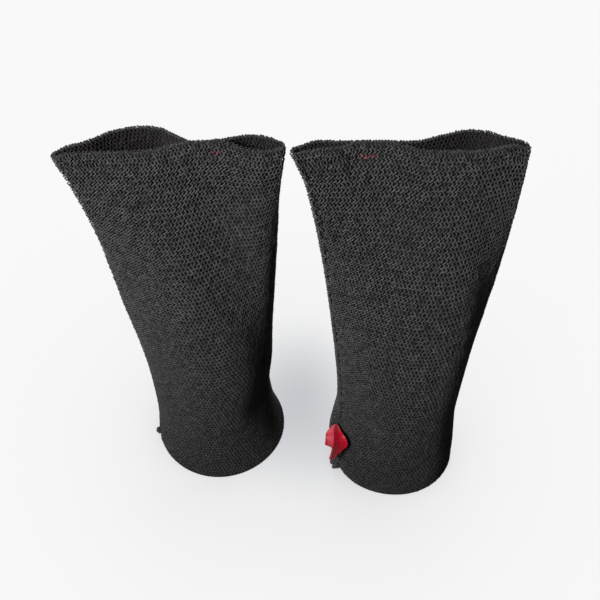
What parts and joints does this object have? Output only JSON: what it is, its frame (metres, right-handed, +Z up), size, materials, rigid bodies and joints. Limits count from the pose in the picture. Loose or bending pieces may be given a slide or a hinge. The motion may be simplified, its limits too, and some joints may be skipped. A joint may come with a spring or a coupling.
{
  "type": "pair of arm warmers",
  "caption": "Pair of fine-knit tubular arm warmers standing on their hems, round at the hem and flattened to a wavy open rim at the wide end.",
  "frame": {"origin": "on the floor, under the middle of the pair's bounding box", "axes": "+Z up along both tubes, +X from the left warmer to the right one, -Y the front"},
  "size_m": [0.1765, 0.0752, 0.2],
  "materials": {
    "knit": "fine charcoal knit, matt, with raised slanting stitches in even rows",
    "edging": "charcoal linked edging, fine stitches up to a rim of small bead-like loops",
    "tape": "plain red satin tape with a soft sheen, bare of any lettering"
  },
  "bodies": {
    "root": {"left_tube": "knit", "left_edging": "edging", "right_tube": "knit", "right_edging": "edging", "label": "tape"}
  },
  "joints": []
}
